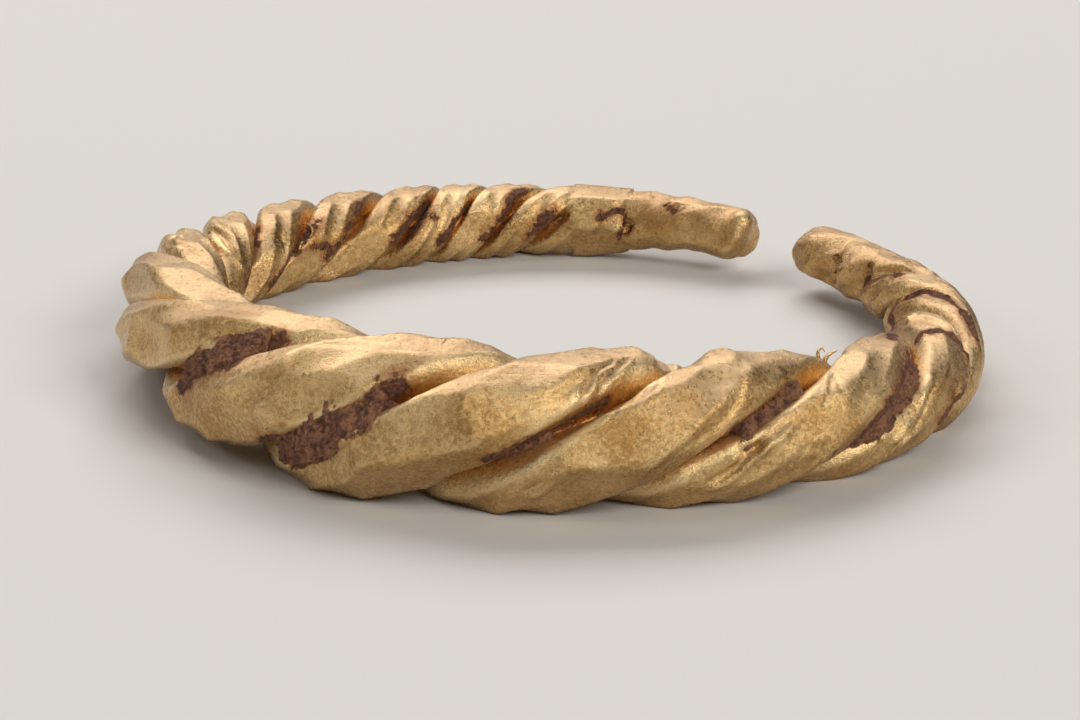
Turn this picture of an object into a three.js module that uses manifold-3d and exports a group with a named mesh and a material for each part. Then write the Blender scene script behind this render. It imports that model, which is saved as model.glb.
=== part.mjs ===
// A twisted gold ring: three hammered rods laid left-handed round each other, bent into an
// open ring and welded into one blunt lump at each end. It is one solid piece.
// Millimetres, +Z up. The ring lies flat. The origin is the middle of its box, on the plane
// that it rests on, and the open ends are at the back, towards +X and +Y.
import * as THREE from "three";
import { mergeVertices } from "three/addons/utils/BufferGeometryUtils.js";
import Module from "manifold-3d";

// Sizes of the whole ring
const bendRadius = 12.45; // from the middle of the ring to the middle of the bundle, on average
const bundleThickness = 5.25; // across all three rods where they are thickest, at the front
const restingCut = 0.24; // how far the hammered lobes are worn flat where the ring rests

// The bundle is measured at nine places, evenly spaced round the ring from one end to the other.
const firstEndAngle = 61.8; // degrees, anticlockwise from +X
const lastEndAngle = 404.9;
const reachShares = [1.023, 1.057, 1.057, 0.963, 0.92, 0.916, 0.972, 1.001, 1.023]; // of bendRadius
const thicknessShares = [0.35, 0.49, 0.61, 0.77, 1.0, 0.965, 0.775, 0.57, 0.34]; // of bundleThickness
const liftShares = [0.14, 0.03, 0.03, 0.1, 0.005, 0.015, 0.02, 0, 0.14]; // of bundleThickness

// Degrees round the ring at which one groove after the other comes up the outer side.
const grooveAngles = [
  60, 72, 84.5, 94.5, 102.5, 109.5, 119.5, 131, 142.5, 155, 173,
  206.5, 238, 267, 293.5, 320.5, 342.5, 358.5, 371, 383, 396, 412,
];
const grooveAtFront = 13; // the groove in that list from which the twist is counted

// The rods in the bundle
const rodCount = 3;
const rodOffsetShare = 0.5; // from the bundle's middle to a rod's middle, of half the thickness
const rodRadiusShare = 0.5; // of half the thickness
const grooveFloorShare = 0.46; // from the bundle's middle to the bottom of a groove
const outerFlatShare = 0.975; // how far out a rod's hammered outer face reaches
const topFlatShare = 0.95; // how high the hammered flats on top of the bundle lie above its middle
const hammerRelief = 0.03; // how much the hammer marks vary a rod's radius, as a share

// The welded ends
const weldLengths = [3.4, 4.6]; // over which the grooves fade out, at the first and the last end
const endRoundings = [
  [[0.35, 0.99], [0.75, 0.86], [0.95, 0.6]], // the first end is blunt and angular
  [[0.3, 0.96], [0.62, 0.8], [0.88, 0.52], [1, 0.2]], // the last end is rounded
]; // each pair is a distance past the end and the size there, both of half the thickness
const weldLumps = 0.06; // how uneven the welded ends are, of half the thickness

// How finely the surface is divided
const rowsPerGroove = 7;
const facetCorners = [-112, -78, -44, -14, 14, 44, 78, 112]; // degrees round each rod

const degrees = Math.PI / 180;
const gold = new THREE.MeshStandardMaterial({ color: 0xc9a25f, metalness: 1, roughness: 0.38 });

// A smooth curve through evenly spaced values, at a share from 0 to 1 of its length.
function smoothValue(values, share) {
  const place = THREE.MathUtils.clamp(share, 0, 1) * (values.length - 1);
  const index = Math.min(Math.floor(place), values.length - 2);
  const at = (i) => values[THREE.MathUtils.clamp(i, 0, values.length - 1)];
  const t = place - index;
  const startSlope = (at(index + 1) - at(index - 1)) / 2;
  const endSlope = (at(index + 2) - at(index)) / 2;
  const rise = at(index + 1) - at(index);
  return (
    at(index) +
    startSlope * t +
    (3 * rise - 2 * startSlope - endSlope) * t * t +
    (startSlope + endSlope - 2 * rise) * t * t * t
  );
}

function ringShare(angle) {
  return (angle - firstEndAngle) / (lastEndAngle - firstEndAngle);
}

// Half the bundle's thickness, which is the radius that the rods' outer faces reach.
function halfThickness(angle) {
  return (smoothValue(thicknessShares, ringShare(angle)) * bundleThickness) / 2;
}

function bundleCentre(angle) {
  const share = ringShare(angle);
  const reach = smoothValue(reachShares, share) * bendRadius;
  const height = halfThickness(angle) + smoothValue(liftShares, share) * bundleThickness - restingCut;
  return new THREE.Vector3(reach * Math.cos(angle * degrees), reach * Math.sin(angle * degrees), height);
}

// The bundle's own directions at an angle: along it, outward from the ring, and up.
function bundleFrame(angle) {
  const inside = THREE.MathUtils.clamp(angle, firstEndAngle + 0.5, lastEndAngle - 0.5);
  const along = bundleCentre(inside + 0.5).sub(bundleCentre(inside - 0.5)).normalize();
  const outward = new THREE.Vector3(Math.cos(inside * degrees), Math.sin(inside * degrees), 0);
  outward.addScaledVector(along, -outward.dot(along)).normalize();
  return { along, outward, up: outward.clone().cross(along) };
}

// The angle round the ring for a place counted in grooves, with fractions between them.
function angleAtGroove(place) {
  return smoothValue(grooveAngles, place / (grooveAngles.length - 1));
}

// The arc along the bundle, in millimetres, from the nearer end.
function arcFromEnd(angle, end) {
  const endAngle = end === 0 ? firstEndAngle : lastEndAngle;
  return Math.abs(angle - endAngle) * degrees * bendRadius;
}

// How far the rods have merged into a welded end: 0 where they are separate, 1 at the end.
function weldedShare(angle) {
  const fades = weldLengths.map((length, end) => 1 - arcFromEnd(angle, end) / length);
  return THREE.MathUtils.smoothstep(Math.max(...fades), 0, 0.8);
}

// Slow, repeatable unevenness left by the hammer, from -1 to 1.
function hammerMarks(rod, corner, place) {
  const early = Math.sin(5.1 * place + 2.3 * rod + 1.7 * corner);
  const late = Math.sin(8.7 * place - 1.9 * rod + 2.9 * corner + 1);
  return 0.6 * early + 0.4 * late;
}

// One closed outline across the bundle, as [distance, degrees] pairs round its middle.
// Each rod gives its facet corners, and the bottom of the groove that follows it.
function bundleOutline(angle, place) {
  const half = halfThickness(angle);
  const twist = (360 / rodCount) * (place - grooveAtFront);
  const grooveStep = (angleAtGroove(place + 0.5) - angleAtGroove(place - 0.5)) * degrees * bendRadius;
  const layAngle = Math.atan((2 * Math.PI * rodOffsetShare * half) / (rodCount * grooveStep));
  const welded = weldedShare(angle);
  const outline = [];
  for (let rod = 0; rod < rodCount; rod++) {
    const rodDirection = twist + (rod + 0.5) * (360 / rodCount);
    facetCorners.forEach((corner, index) => {
      const rodRadius = rodRadiusShare * half * (1 + hammerRelief * hammerMarks(rod, index, place));
      const outwards = Math.min(
        rodOffsetShare * half + rodRadius * Math.cos(corner * degrees),
        outerFlatShare * half,
      );
      const sideways = (rodRadius / Math.cos(layAngle)) * Math.sin(corner * degrees);
      const direction = rodDirection + Math.atan2(sideways, outwards) / degrees;
      const lump = half * (1 + weldLumps * hammerMarks(rod, index, 0.6 * place));
      outline.push([THREE.MathUtils.lerp(Math.hypot(sideways, outwards), lump, welded), direction]);
    });
    const grooveFloor = THREE.MathUtils.lerp(grooveFloorShare, 0.95, welded) * half;
    outline.push([grooveFloor, rodDirection + 180 / rodCount]);
  }
  return outline;
}

// The outline's points in space, shrunk by size and moved past the end by a distance.
function bundleRow(angle, place, size, pastEnd) {
  const frame = bundleFrame(angle);
  const middle = bundleCentre(angle).addScaledVector(frame.along, pastEnd);
  const flatTop = topFlatShare * halfThickness(angle);
  return bundleOutline(angle, place).map(([distance, direction]) => {
    const height = Math.min(distance * Math.sin(direction * degrees), flatTop);
    return middle
      .clone()
      .addScaledVector(frame.outward, size * distance * Math.cos(direction * degrees))
      .addScaledVector(frame.up, size * height);
  });
}

// The place, counted in grooves, that lies at an angle round the ring.
function grooveAtAngle(angle) {
  let low = 0;
  let high = grooveAngles.length - 1;
  for (let halving = 0; halving < 40; halving++) {
    const middle = (low + high) / 2;
    if (angleAtGroove(middle) < angle) low = middle;
    else high = middle;
  }
  return (low + high) / 2;
}

function endRows(end) {
  const angle = end === 0 ? firstEndAngle : lastEndAngle;
  const direction = end === 0 ? -1 : 1;
  const place = grooveAtAngle(angle);
  return endRoundings[end].map(([past, size]) =>
    bundleRow(angle, place, size, direction * past * halfThickness(angle)),
  );
}

function allRows() {
  const firstPlace = grooveAtAngle(firstEndAngle);
  const lastPlace = grooveAtAngle(lastEndAngle);
  const steps = Math.round((lastPlace - firstPlace) * rowsPerGroove);
  const rows = endRows(0).reverse();
  for (let step = 0; step <= steps; step++) {
    const place = THREE.MathUtils.lerp(firstPlace, lastPlace, step / steps);
    rows.push(bundleRow(angleAtGroove(place), place, 1, 0));
  }
  return rows.concat(endRows(1));
}

// A closed surface over rows of points, with a fan of triangles over each end.
function surfaceOver(rows) {
  const across = rows[0].length;
  const points = rows.flat();
  const middleOf = (row) =>
    row.reduce((sum, point) => sum.add(point), new THREE.Vector3()).divideScalar(across);
  const firstMiddle = points.push(middleOf(rows[0])) - 1;
  const lastMiddle = points.push(middleOf(rows.at(-1))) - 1;
  const lastRow = (rows.length - 1) * across;
  const faces = [];
  for (let column = 0; column < across; column++) {
    const next = (column + 1) % across;
    faces.push(firstMiddle, column, next);
    faces.push(lastMiddle, lastRow + next, lastRow + column);
    for (let row = 0; row < lastRow; row += across) {
      faces.push(row + column, row + across + column, row + next);
      faces.push(row + across + column, row + across + next, row + next);
    }
  }
  const surface = new THREE.BufferGeometry().setFromPoints(points);
  surface.setIndex(faces);
  return surface;
}

const wasm = await Module();
wasm.setup();

function solidOf(geometry) {
  const bare = geometry.clone();
  bare.deleteAttribute("normal");
  bare.deleteAttribute("uv");
  const merged = mergeVertices(bare, 1e-5);
  return new wasm.Manifold(
    new wasm.Mesh({
      numProp: 3,
      vertProperties: merged.attributes.position.array,
      triVerts: new Uint32Array(merged.index.array),
    }),
  );
}

function geometryOf(solid) {
  const mesh = solid.getMesh();
  const geometry = new THREE.BufferGeometry();
  geometry.setAttribute("position", new THREE.BufferAttribute(mesh.vertProperties, mesh.numProp));
  geometry.setIndex(new THREE.BufferAttribute(mesh.triVerts, 1));
  return geometry;
}

// Everything below the plane that the ring rests on, to be cut away.
function groundBlock() {
  const width = 4 * (bendRadius + bundleThickness);
  return new THREE.BoxGeometry(width, width, bundleThickness).translate(0, 0, -bundleThickness / 2);
}

function twistedRing() {
  const geometry = geometryOf(solidOf(surfaceOver(allRows())).subtract(solidOf(groundBlock())));
  geometry.computeBoundingBox();
  const middle = geometry.boundingBox.getCenter(new THREE.Vector3());
  geometry.translate(-middle.x, -middle.y, 0);
  geometry.computeVertexNormals();
  const mesh = new THREE.Mesh(geometry, gold);
  mesh.name = "twisted_ring";
  return mesh;
}

const ring = new THREE.Group();
ring.add(twistedRing());
export default ring;
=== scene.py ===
import math

import bpy
import numpy as np
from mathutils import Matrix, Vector


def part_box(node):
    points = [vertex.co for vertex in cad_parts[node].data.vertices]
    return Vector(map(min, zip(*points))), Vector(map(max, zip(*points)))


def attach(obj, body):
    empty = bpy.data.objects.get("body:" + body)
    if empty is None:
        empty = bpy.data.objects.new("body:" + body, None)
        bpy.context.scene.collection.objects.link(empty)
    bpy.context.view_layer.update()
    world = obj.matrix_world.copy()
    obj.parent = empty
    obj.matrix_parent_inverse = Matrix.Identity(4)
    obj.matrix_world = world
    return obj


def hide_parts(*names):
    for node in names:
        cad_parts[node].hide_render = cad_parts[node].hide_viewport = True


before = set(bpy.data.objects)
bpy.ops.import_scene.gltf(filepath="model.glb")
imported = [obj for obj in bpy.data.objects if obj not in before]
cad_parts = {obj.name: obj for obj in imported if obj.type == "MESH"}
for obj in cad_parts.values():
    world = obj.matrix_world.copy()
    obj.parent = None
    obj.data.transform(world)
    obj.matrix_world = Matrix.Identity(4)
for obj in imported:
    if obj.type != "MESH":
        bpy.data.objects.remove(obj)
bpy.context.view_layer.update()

# The ring's shape is worked out in millimetres, as its solid is, and turned into metres at the end.
MM = 0.001
NODE = "twisted_ring"

# Sizes of the whole ring
BEND_RADIUS = 12.45
BUNDLE_THICKNESS = 5.25
RESTING_CUT = 0.24
FIRST_END_ANGLE = 61.8
LAST_END_ANGLE = 404.9
REACH_SHARES = (1.023, 1.057, 1.057, 0.963, 0.92, 0.916, 0.972, 1.001, 1.023)
THICKNESS_SHARES = (0.35, 0.49, 0.61, 0.77, 1.0, 0.965, 0.775, 0.57, 0.34)
LIFT_SHARES = (0.14, 0.03, 0.03, 0.1, 0.005, 0.015, 0.02, 0, 0.14)
GROOVE_ANGLES = (
    60, 72, 84.5, 94.5, 102.5, 109.5, 119.5, 131, 142.5, 155, 173,
    206.5, 238, 267, 293.5, 320.5, 342.5, 358.5, 371, 383, 396, 412,
)
GROOVE_AT_FRONT = 13

# The rods in the bundle, as shares of half its thickness
ROD_COUNT = 3
ROD_STEP = 360 / ROD_COUNT
ROD_OFFSET = 0.5
ROD_RADIUS = 0.575
GROOVE_FLOOR = 0.40
GROOVE_DEPTH = 0.3
GROOVE_WIDTH = 8
TOP_FLAT = 0.955
OUTER_FLAT = 0.985

# The hammered faces of a rod: where each lies round it, in degrees, and its share of the radius. They
# drift round the rod, and in and out, by sines of the groove's place, the rod and the face.
ROD_FACES = ((-106, 0.98), (-54, 0.91), (-2, 0.865), (50, 0.91), (102, 0.98))
FACE_DRIFT, DRIFT_PACE = 7, (2.7, 2.1, 1.9)
FACE_SWAY, SWAY_PACE = 0.025, (2.9, 1.3, 2.7)
FACE_HALF_WIDTH = 75
THIN_TO_THICK = (0.6, 0.95)
THIN_FACES = 0.5

# The welded ends, and the block that the rods are beaten into near the first one
WELD_LENGTHS = (4.4, 6.2)
WELD_FADE = 0.45
BLOCK_ANGLES = (78.4, 86.4)
BLOCK_FADE = 1.6
BLOCK_FACES = {"upper": (-2, 34, 0.92), "lower": (-2, -32, 0.88), "top": (0, 88, 0.88)}
BLOCK_INSIDE = (0.45, 0.8)
BLOCK_TOWARDS = (0.6, 0.8)
BLOCK_LEAST = 0.05
END_ROUNDINGS = (
    ((0.2, 1.0), (0.4, 0.985), (0.6, 0.94), (0.75, 0.87), (0.88, 0.74), (0.96, 0.55), (0.99, 0.3)),
    ((0.2, 0.985), (0.4, 0.93), (0.6, 0.83), (0.78, 0.68), (0.9, 0.5), (0.98, 0.28), (1.0, 0.1)),
)

# How finely the ring's surface is divided, with rows closer together where the bundle is thick, and the
# small amounts that keep a direction from being nought
ROW_COUNT = 780
ROW_SPREAD = 0.6
FACET_ARC = 118
COLUMNS_PER_ROD = 40
MERGED_ARC = 0.95 * ROD_STEP / 2
ANGLE_STEPS = 4000
GROOVE_STEPS = 8000
TINY = 1e-12
NUDGE = 1e-9

# The camera, from the photograph: its height above the horizon, its distance and its lens
CAMERA_ELEVATION = 19.59
CAMERA_DISTANCE = 224.1
CAMERA_LENS = 229.8
SENSOR_WIDTH = 36.0
PHOTO_WIDTH = 1080
PHOTO_HEIGHT = 720
CAMERA_CLIP = (0.01, 20)
RING_MIDDLE_PIXEL = (552.0, 387.2)
FOCAL_PIXELS = CAMERA_LENS / SENSOR_WIDTH * PHOTO_WIDTH
ELEVATION = math.radians(CAMERA_ELEVATION)
TO_CAMERA = np.array([0, -math.cos(ELEVATION), math.sin(ELEVATION)])
PICTURE_UP = np.array([0, math.sin(ELEVATION), math.cos(ELEVATION)])

# Finding what the camera sees at a pixel: the pixels, and the millimetres of depth, that count as one place
SEEN_WITHIN = 5.0
SEEN_SLACK = 1
SEEN_DEPTH = 0.6
GRAZING = 0.02

# How far round a place the tools look, in reaches, and a mark, in widths. A point lies in a groove where
# its distance from the bundle's middle is a small share of half the thickness.
WINDOW_MARGIN = 1.6
MARK_REACH = 2.5
IN_GROOVE = (0.5, 0.84)

# The hammering that every part of the rods has
HAMMER_SEED = 11
HAMMER_SPACING = 2.6
HAMMER_DEPTHS = (0.015, 0.075)
HAMMER_TILT = 3.5
HAMMER_REACH = 3.0
HAMMER_WANDER = 0.3
HAMMER_SHIFT = 1.2
HAMMER_MARGIN = 4

# A cut: how sharp its edges are, the share of its reach in which it looks for the highest point, the share
# at which it starts to fade, and the most that it takes away, in depths
EDGE_SOFTNESS = 0.007
SOFT_RANGE = (-30, 200)
CUT_CORE = 0.55
CUT_FADE = 0.7
CUT_LIMIT = 1.6

# A flat's usual lean in degrees and reach in millimetres, and the share of a step at which it runs out
FLAT_LEAN = 16
FLAT_REACH = 3.2
STEP_FADE = 0.6

# A crease: how far it wanders, in widths, the length of that wave, and where it fades
CREASE_WANDER, WANDER_LENGTH, WANDER_SEED = 0.5, 1.1, 5
CREASE_ENDS = 0.12
CREASE_FADE = (4, 6)
LIP_PLACE, LIP_WIDTH = 1.6, 1.1
STROKE_STEPS = 40

# The hammering of the welded ends
END_SEED = 5
END_WELDED = 0.25
END_MARGIN = 6
END_ROW_STEP = 7
END_BLOWS = 4
END_TILT = 6
END_DEPTHS = (0.02, 0.07)
END_REACH = 1.1
END_LUMPS = ((0.05, 1.5, 31), (0.02, 0.6, 32))

# Unevenness of the whole surface, as wavelength, height and seed, and the height at which a ridge gets its
# full rubbed wear and painted highlight, and a hollow its full painted shade
UNEVENNESS = ((2.4, 0.010, 21), (0.75, 0.006, 22))
RIDGE_AND_HOLLOW_HEIGHT = 0.15

# The soil packed in the grooves
SOIL_GRAIN = 0.06
SOIL_ROUGHNESS = 0.11
SOIL_RAGGEDNESS = ((0.05, 1.3), (0.025, 0.45))
SOIL_ENDS = 0.16
SOIL_END_LEVEL = 0.3
SOIL_BOTTOM = 0.2

# What is worked into each strand in turn, at pixels of the photograph. A flat has its degrees to the right
# and upward, depth, reach and lean, a push its amount and reach, a crease its width, depth and lip, and a
# step its end and drop.
FRONT = {
    "low, left end": ("flat", (186, 404), -62, -6, 0.34, 2.2, 24),
    "low, face": ("flat", (262, 386), -18, 8, 0.36, 4.2),
    "low, underside": ("flat", (225, 428), -25, -42, 0.36, 4.2),
    "low, upper face": ("flat", (310, 356), -10, 46, 0.22, 4.0),
    "low, top": ("flat", (420, 341), 0, 84, 0.08, 3.6),
    "middle, left end": ("flat", (300, 455), -40, -10, 0.32, 2.6, 22),
    "middle, face": ("flat", (395, 430), -8, 10, 0.34, 4.6),
    "middle, underside": ("flat", (370, 480), -5, -42, 0.36, 4.4),
    "middle, upper face": ("flat", (490, 390), 0, 30, 0.22, 3.6),
    "middle, shoulder": ("flat", (560, 368), 3, 54, 0.16, 3.6),
    "middle, corner": ("push", (636, 357), 0.2, 0.8),
    "middle, top": ("flat", (600, 350), 0, 88, 0.1),
    "left fold": ("crease", [(580, 396), (592, 380), (606, 366), (616, 360)], 0.09, 0.14, 0.09),
    "right fold": ("crease", [(597, 388), (608, 374), (620, 366), (631, 361)], 0.09, 0.12, 0.09),
    "crack underneath": ("crease", [(432, 448), (424, 465), (428, 480)], 0.12, 0.08, 0.06),
    "middle, step": ("step_down", (653, 352), (700, 366), 0.26),
    "third, left end": ("flat", (455, 482), -26, -10, 0.18),
    "third, face": ("flat", (640, 425), 2, 8, 0.34, 4.6),
    "third, underside": ("flat", (600, 484), 4, -46, 0.36, 4.4),
    "third, upper face": ("flat", (700, 388), 6, 38, 0.22, 3.8),
    "third, corner": ("push", (722, 358), 0.34, 0.65),
    "third, top": ("flat", (755, 352), 0, 88, 0.12, 3.4),
    "third, right end": ("flat", (800, 366), 24, 38, 0.08, 1.2),
    "third, edge": ("crease", [(520, 500), (540, 486), (549, 471), (562, 469)], 0.12, 0.12, 0.12),
    "third, fold": ("crease", [(640, 398), (655, 388), (668, 377)], 0.1, 0.07, 0.04),
}
LEFT = {
    "lower, end": ("flat", (146, 344), -66, 2, 0.36, 1.9, 26),
    "lower, face": ("flat", (215, 325), -26, 32, 0.28, 3.6),
    "lower, top": ("flat", (250, 303), -4, 72, 0.12),
    "upper, face": ("flat", (185, 272), -28, 52, 0.26),
    "upper, end": ("flat", (135, 285), -75, 10, 0.22, 2.4),
    "upper, top": ("flat", (185, 238), -10, 76, 0.12),
    "crack": ("crease", [(209, 227), (222, 237), (235, 251), (246, 272)], 0.13, 0.2, 0.12),
    "shelf": ("crease", [(150, 252), (168, 245), (190, 246), (210, 256)], 0.12, 0.08, 0.08),
    "nick": ("crease", [(272, 243), (280, 236), (286, 245)], 0.09, 0.1, 0.05),
}
BACK = {
    "second strand": ("flat", (325, 245), 14, -22, 0.32),
    "third strand": ("flat", (385, 236), 8, -18, 0.3),
    "fifth strand": ("flat", (483, 222), 4, -14, 0.28),
    "first strand": ("flat", (272, 262), 22, -14, 0.22),
}
BLUNT_END = {
    "edge of the block": ("crease", [(621, 199), (626, 218), (621, 240)], 0.14, 0.2, 0.02),
    "left nick": ("crease", [(666, 203), (670, 212)], 0.08, 0.1, 0.02),
    "right nick": ("crease", [(673, 204), (677, 213)], 0.08, 0.1, 0.02),
    "tip, face": ("flat", (752, 234), 58, -12, 0.2, 1.2, 30),
    "tip, underside": ("flat", (744, 244), 20, -36, 0.16, 1.0, 30),
    "tip, lump": ("push", (745, 218), 0.1, 0.5),
    "upper face": ("flat", (690, 208), -4, 56, 0.08, 2.0),
    "lower face": ("flat", (690, 226), 2, 8, 0.08, 2.0),
}
RIGHT = {
    "lower face": ("flat", (765, 458), 8, -4, 0.28, 3.4),
    "underside": ("flat", (700, 484), 10, -42, 0.26, 3.4),
    "upper face": ("flat", (845, 398), 18, 22, 0.26),
    "top": ("flat", (868, 346), 5, 76, 0.1),
    "outer face": ("flat", (930, 395), 48, 12, 0.16, 2.0),
    "long lip": (
        "crease",
        [(700, 489), (722, 478), (738, 465), (752, 452), (771, 437), (797, 411)],
        0.14, 0.13, 0.15,
    ),
    "short lip": ("crease", [(733, 450), (745, 452), (757, 449), (770, 438)], 0.11, 0.14, 0.1),
    "lowest lip": ("crease", [(800, 450), (822, 446), (836, 452)], 0.1, 0.08, 0.07),
    "forked crack, left arm": ("crease", [(835, 370), (831, 393), (824, 407)], 0.08, 0.09, 0.05),
    "forked crack, right arm": ("crease", [(835, 370), (842, 384), (846, 396)], 0.08, 0.06, 0.03),
    "nick": ("crease", [(868, 387), (876, 385), (886, 384)], 0.07, 0.14, 0.06),
    "sliver": ("crease", [(937, 374), (926, 404), (911, 431), (893, 447)], 0.11, 0.1, 0.17),
    "turn of the sliver": ("crease", [(893, 449), (884, 445), (876, 437)], 0.1, 0.08, 0.12),
    "inner ridge": ("crease", [(903, 324), (923, 316), (940, 321), (959, 340)], 0.1, 0.05, 0.16),
    "lower inner ridge": ("crease", [(964, 352), (966, 376), (958, 404)], 0.1, 0.04, 0.16),
    "outer ridge": ("crease", [(893, 308), (915, 290), (935, 288), (960, 300)], 0.1, 0.05, 0.14),
    "lower outer ridge": ("crease", [(968, 312), (977, 330), (980, 354)], 0.09, 0.04, 0.12),
}
ROUNDED_END = {
    "first swelling": ("push", (812, 258), 0.18, 0.75),
    "second swelling": ("push", (847, 274), 0.2, 0.65),
    "third swelling": ("push", (868, 300), 0.12, 0.6),
    "first groove": ("crease", [(829, 280), (838, 267), (835, 252)], 0.24, 0.36, 0.02),
    "second groove": ("crease", [(856, 299), (862, 280), (868, 262)], 0.22, 0.32, 0.02),
    "inner face": ("flat", (812, 264), -24, -10, 0.2, 1.3, 28),
    "second inner face": ("flat", (846, 281), -30, -8, 0.18, 1.0, 28),
    "top": ("flat", (818, 240), -14, 52, 0.12, 1.6),
    "tip, lower face": ("flat", (798, 244), -60, -20, 0.2, 1.0, 35),
    "tip, upper face": ("flat", (800, 226), -60, 50, 0.12, 0.8, 30),
    "underside": ("flat", (820, 268), -10, -40, 0.12, 0.8, 30),
    "lump between the grooves": ("push", (848, 262), 0.1, 0.6),
}

# Curls of torn metal: the pixels along each, from its root, and its width in millimetres
BURRS = {
    "left curl at the right": ([(826, 362), (822, 356), (821, 349), (825, 345), (828, 349)], 0.12),
    "right curl at the right": ([(827, 362), (829, 355), (834, 350), (841, 347)], 0.15),
    "upper curl at the left": ([(309, 238), (312, 231), (308, 224), (302, 223)], 0.1),
    "lower curl at the left": ([(298, 250), (300, 244), (304, 243)], 0.16),
}
BURR_ROOT = 0.12
BURR_STEPS = 8
BURR_SIDES = 10
BURR_TAPER = 1.15
BURR_FLATNESS = 0.5

# Packed soil: the pixels where it starts and ends, how far it fills the bundle, the seed of its grains
# and its half width in degrees round the bundle
SOIL_PATCHES = {
    "left": ((176, 382), (278, 342), 0.80, 41, 24),
    "front": ((258, 445), (403, 380), 0.82, 42, 26),
    "middle": ((480, 461), (560, 424), 0.58, 43, 18),
    "front right": ((735, 425), (800, 390), 0.72, 44, 22),
    "right": ((845, 448), (906, 340), 0.80, 45, 26),
}

# Stains, pits and glittering patches: the pixels along each and its width in millimetres
STAINS_UNDER_SOIL = {
    "left": ([(178, 383), (232, 360), (275, 343)], 0.5),
    "front": ([(268, 444), (335, 420), (398, 386)], 0.5),
    "middle": ([(485, 460), (530, 440), (606, 402)], 0.24),
    "front right": ([(735, 427), (790, 397)], 0.3),
    "right": ([(852, 444), (889, 408), (910, 374), (911, 358)], 0.42),
}
THIN_SOIL = {
    "inner groove": (
        [(917, 340), (927, 331), (941, 330), (953, 337), (965, 354), (968, 369), (962, 390), (942, 420)],
        0.17,
    ),
    "outer groove": (
        [(884, 319), (893, 307), (911, 295), (929, 292), (950, 300), (965, 315), (977, 342)],
        0.15,
    ),
    "groove by the rounded end": ([(861, 294), (869, 283), (884, 276), (902, 274)], 0.12),
    "start of the inner groove": ([(890, 318), (893, 330), (890, 338)], 0.2),
    "first groove round the end": ([(830, 276), (838, 266), (835, 252)], 0.06),
    "second groove round the end": ([(857, 295), (862, 280), (868, 264)], 0.06),
}
STAINS_AT_THE_BACK = {
    "corner": ([(258, 232), (256, 262), (252, 286)], 0.26),
    "first groove": ([(272, 286), (290, 262), (300, 240)], 0.42),
    "top of the first groove": ([(300, 246), (312, 232), (318, 222)], 0.3),
    "second groove": ([(328, 258), (347, 230), (362, 204)], 0.24),
    "third groove": ([(396, 240), (412, 222), (430, 208)], 0.46),
    "fourth groove": ([(442, 240), (457, 222), (468, 206)], 0.26),
    "fifth groove": ([(486, 240), (503, 214), (514, 196)], 0.3),
    "top of the fifth groove": ([(516, 192), (524, 190)], 0.3),
    "sixth groove": ([(534, 232), (542, 222), (548, 214)], 0.4),
}
SMALL_STAINS = {
    "block": ([(600, 218), (612, 212), (622, 208)], 0.16),
    "left of the block": ([(600, 212), (604, 219)], 0.12),
    "blunt end": ([(667, 204), (676, 212)], 0.14),
    "edge of the block": ([(618, 240), (624, 215)], 0.13),
    "beside the first groove": ([(300, 232), (308, 238)], 0.16),
    "second strand": ([(318, 245), (330, 247)], 0.16),
    "beside the third groove": ([(412, 218), (425, 213), (436, 216)], 0.16),
    "spot on the middle strand": ([(443, 342), (447, 338)], 0.05),
}
PITTED_PATCHES = {
    "corner at the back left": ([(252, 250), (262, 290)], 0.5),
    "blunt end": ([(640, 205), (750, 230)], 0.8),
    "rounded end": ([(800, 235), (860, 265)], 0.9),
    "above the left soil": ([(245, 345), (330, 335)], 0.35),
    "step on the middle strand": ([(650, 365), (664, 372)], 0.25),
}
GLITTERING_PATCHES = {
    "third strand": ([(610, 455), (680, 440)], 0.8),
    "left end of the third strand": ([(440, 480), (500, 492)], 0.7),
    "left strand": ([(200, 315), (260, 335)], 0.6),
    "low strand": ([(290, 385), (320, 375)], 0.6),
    "right side": ([(960, 320), (965, 390)], 0.3),
}

# Colours as they look on a screen, from 0 to 255
GOLD_DULL, GOLD_PALE = (180, 138, 80), (236, 200, 142)
# A pale colour for what faces up, partly a film of dust and partly painted top light
DUST_AND_PAINTED_TOP_LIGHT = (212, 188, 166)
# A painted reflection that lights the metal in the grooves
PAINTED_GROOVE_GLOW = (252, 212, 146)
# A painted highlight, with rubbed wear, for ridges, and painted shade for hollows
RUBBED_GOLD_AND_PAINTED_HIGHLIGHT = (255, 226, 172)
PAINTED_HOLLOW_SHADE = (150, 100, 56)
# Painted shade for what faces down
PAINTED_UNDERSIDE_SHADE = (150, 108, 60)
PIT = (150, 90, 50)
SPECK = (128, 82, 42)
RED_PATCH = (150, 92, 56)
STAIN_EDGE = (166, 100, 52)
STAIN_DARK, STAIN_PALE = (70, 40, 28), (142, 92, 62)
SOIL_DARK, SOIL_PALE = (78, 46, 34), (176, 124, 92)

# How deep the fine relief of the materials is, in millimetres
GOLD_RELIEF = 0.06
SOIL_RELIEF = 0.25

# The floor and the light all round
FLOOR_COLOUR = (0.72, 0.71, 0.69, 1)
FLOOR_ROUGHNESS = 0.7
FLOOR_REACH = 4.0
WORLD_COLOUR = (0.66, 0.64, 0.62, 1)
WORLD_STRENGTH = 0.22

# The lights: place and size in metres, power in watts, and colour
LIGHTS = {
    "behind": ((-0.05, 0.24, 0.27), (0.4, 0.2), 1.0, (1.0, 0.96, 0.94)),
    "left": ((-0.34, -0.1, 0.26), (0.1, 0.14), 0.22, (1.0, 0.97, 0.93)),
    "right": ((0.2, -0.28, 0.25), (0.22, 0.16), 0.95, (1.0, 0.97, 0.93)),
}


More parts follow.
